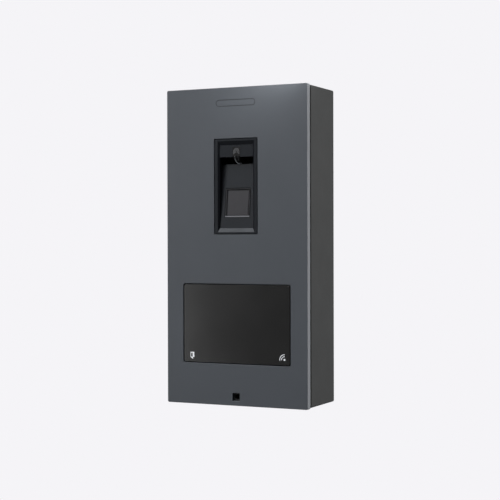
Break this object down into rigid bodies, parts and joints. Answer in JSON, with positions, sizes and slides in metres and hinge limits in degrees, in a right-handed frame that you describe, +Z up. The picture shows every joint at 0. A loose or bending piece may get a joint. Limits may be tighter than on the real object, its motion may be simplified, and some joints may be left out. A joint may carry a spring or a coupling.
{
  "type": "fingerprint scanner terminal",
  "caption": "Slim wall-mounted fingerprint and card terminal: dark metal front plate, recessed finger cradle with sensor, glass card panel, boxed body.",
  "frame": {"origin": "centre of the rear face, on the wall", "axes": "+Z up, +X to the right of a person facing the terminal, +Y into the wall, so the front faces -Y"},
  "size_m": [0.077, 0.034, 0.157],
  "materials": {
    "plate_finish": "satin powder coat, anthracite",
    "steel": "bright zinc plated",
    "dark_glass": "dark tinted, back painted",
    "icon_ink": "white print",
    "black_foam": "black foam tape",
    "board_green": "green solder mask",
    "copper": "bare copper",
    "ferrite": "matt sheet",
    "lamp": "clear lens",
    "black_plastic": "fine moulded grain",
    "ring_plastic": "satin",
    "sensor_coat": "satin coating",
    "smoke_clear": "smoked clear",
    "mark_ink": "grey print",
    "flex_amber": "polyimide film",
    "socket_white": "moulded",
    "carrier_plastic": "fine moulded grain",
    "membrane": "woven acoustic membrane",
    "buzzer_black": "moulded",
    "tin_can": "tinned",
    "chip_epoxy": "moulded epoxy",
    "relay_case": "moulded",
    "can_aluminium": "sleeveless can",
    "terminal_green": "moulded",
    "brass_pin": "bright",
    "switch_black": "moulded",
    "plunger_white": "moulded",
    "button_black": "moulded",
    "box_paint": "matt textured powder coat",
    "seal_rubber": "silicone",
    "grommet_rubber": "moulded"
  },
  "bodies": {
    "wall_box": {"back_box": "box_paint", "cable_grommet": "grommet_rubber", "seal_gasket": "seal_rubber"},
    "front_unit": {"antenna_coil": "copper", "board_chips": "chip_epoxy", "board_screws": "steel", "brow_panel": "black_plastic", "buzzer": "buzzer_black", "capacitors": "can_aluminium", "chassis": "carrier_plastic", "door_icon": "icon_ink", "door_relay": "relay_case", "ferrite_sheet": "ferrite", "finger_bezel": "black_plastic", "finger_cradle": "black_plastic", "finger_icon": "mark_ink", "flex_socket": "socket_white", "front_plate": "plate_finish", "glass_panel": "dark_glass", "icon_leds": "lamp", "light_guide": "smoke_clear", "main_board": "board_green", "module_board": "board_green", "module_cover": "black_plastic", "module_screws": "steel", "network_magnetics": "chip_epoxy", "panel_tape": "black_foam", "plate_studs": "steel", "port_duct": "black_plastic", "port_membrane": "membrane", "processor_shield": "tin_can", "reader_board": "board_green", "reset_switch": "tin_can", "sensor_board": "board_green", "sensor_flex": "flex_amber", "sensor_pad": "sensor_coat", "sensor_ring": "ring_plastic", "status_leds": "lamp", "stud_nuts": "steel", "tamper_switch": "switch_black", "terminal_header": "terminal_green", "terminal_pins": "brass_pin", "wireless_icon": "icon_ink"},
    "terminal_plug": {"terminal_plug": "terminal_green", "terminal_screws": "steel"},
    "tamper_plunger": {"tamper_plunger": "plunger_white"},
    "reset_button": {"reset_button": "button_black"},
    "lock_pin": {"lock_pin": "steel"},
    "lock_screw": {"lock_screw": "steel"}
  },
  "joints": [
    {"name": "front_swing", "type": "hinge", "parent": "wall_box", "child": "front_unit", "pos_m": [0, -0.031, 0.0785], "axis": [-1, 0, 0], "range_deg": [0, 30]},
    {"name": "lock_pin_slide", "type": "slide", "parent": "wall_box", "child": "lock_pin", "axis": [0, 0, 1], "range_m": [0, 0.0035]},
    {"name": "lock_screw_turn", "type": "hinge", "parent": "lock_pin", "child": "lock_screw", "pos_m": [0, -0.012, -0.074], "axis": [0, 0, 1], "range_deg": [0, 1801]},
    {"name": "wiring_plug_pull", "type": "slide", "parent": "front_unit", "child": "terminal_plug", "axis": [0, 0, -1], "range_m": [0, 0.0095]},
    {"name": "tamper_press", "type": "slide", "parent": "front_unit", "child": "tamper_plunger", "axis": [0, -1, 0], "range_m": [0, 0.0012], "stiffness_N_per_m": 600},
    {"name": "reset_press", "type": "slide", "parent": "front_unit", "child": "reset_button", "axis": [0, -1, 0], "range_m": [0, 0.00035], "stiffness_N_per_m": 4000}
  ],
  "couplings": [
    {"joint": "lock_screw_turn", "follows": "lock_pin_slide", "rad_per_m": 8976}
  ]
}
